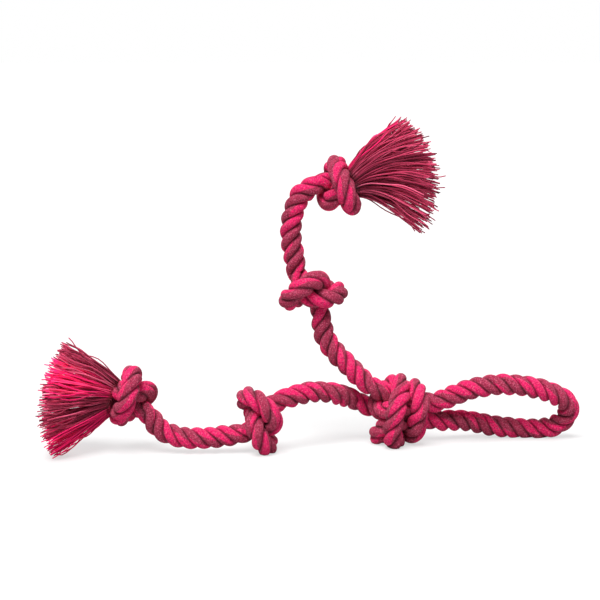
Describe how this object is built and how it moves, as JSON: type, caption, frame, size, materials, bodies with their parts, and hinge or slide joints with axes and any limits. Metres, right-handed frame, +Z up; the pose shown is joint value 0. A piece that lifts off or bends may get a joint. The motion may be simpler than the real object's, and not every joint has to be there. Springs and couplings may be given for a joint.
{
  "type": "rope dog toy",
  "caption": "Cotton rope tug toy for dogs: a thick laid rope doubled into a hand loop at one knot, with knotted arms that end in frayed tassels.",
  "frame": {"origin": "on the floor, under the front turn of the main knot", "axes": "+X along the toy's length towards the hand loop, +Y away from the picture's viewer, +Z up"},
  "size_m": [0.5283, 0.1418, 0.3199],
  "materials": {
    "rope": "matte laid cotton, hot pink and maroon yarns",
    "lower_fray": "matte loose cotton yarns, hot pink and maroon",
    "upper_fray": "matte loose cotton yarns, mostly maroon"
  },
  "bodies": {
    "main_knot": {"main_knot_lower_leg": "rope", "main_knot_upper_leg": "rope"},
    "handle_loop": {"handle_loop": "rope"},
    "lower_mid_knot": {"lower_mid_knot": "rope", "lower_inner_rope": "rope"},
    "lower_end_knot": {"lower_end_knot": "rope", "lower_outer_rope": "rope"},
    "lower_tassel": {"lower_tassel": "lower_fray"},
    "upper_mid_knot": {"upper_mid_knot": "rope", "upper_inner_rope": "rope"},
    "upper_end_knot": {"upper_end_knot": "rope", "upper_outer_rope": "rope"},
    "upper_tassel": {"upper_tassel": "upper_fray"}
  },
  "joints": [
    {"name": "handle_loop_swing", "type": "hinge", "parent": "main_knot", "child": "handle_loop", "pos_m": [0.036, 0.0195, 0.033], "axis": [0, 0, 1], "range_deg": [-40, 40], "deforming": ["handle_loop"]},
    {"name": "lower_inner_bend", "type": "hinge", "parent": "main_knot", "child": "lower_mid_knot", "pos_m": [-0.0741, -0.0024, 0.0549], "axis": [0, 0, 1], "range_deg": [-35, 35], "deforming": ["lower_inner_rope"]},
    {"name": "lower_outer_bend", "type": "hinge", "parent": "lower_mid_knot", "child": "lower_end_knot", "pos_m": [-0.1967, -0.0294, 0.0149], "axis": [0, 0, 1], "range_deg": [-35, 35], "deforming": ["lower_outer_rope"]},
    {"name": "lower_tassel_sway", "type": "hinge", "parent": "lower_end_knot", "child": "lower_tassel", "pos_m": [-0.274, -0.031, 0.064], "axis": [0, 0, 1], "range_deg": [-25, 25], "deforming": ["lower_tassel"]},
    {"name": "upper_inner_bend", "type": "hinge", "parent": "main_knot", "child": "upper_mid_knot", "pos_m": [-0.0605, 0.0058, 0.0922], "axis": [0, 1, 0], "range_deg": [-25, 25], "deforming": ["upper_inner_rope"]},
    {"name": "upper_outer_bend", "type": "hinge", "parent": "upper_mid_knot", "child": "upper_end_knot", "pos_m": [-0.1038, 0.008, 0.214], "axis": [1, 0, 0], "range_deg": [-30, 30], "deforming": ["upper_outer_rope"]},
    {"name": "upper_tassel_sway", "type": "hinge", "parent": "upper_end_knot", "child": "upper_tassel", "pos_m": [-0.0421, 0.0069, 0.2579], "axis": [0, 1, 0], "range_deg": [-25, 25], "deforming": ["upper_tassel"]}
  ]
}
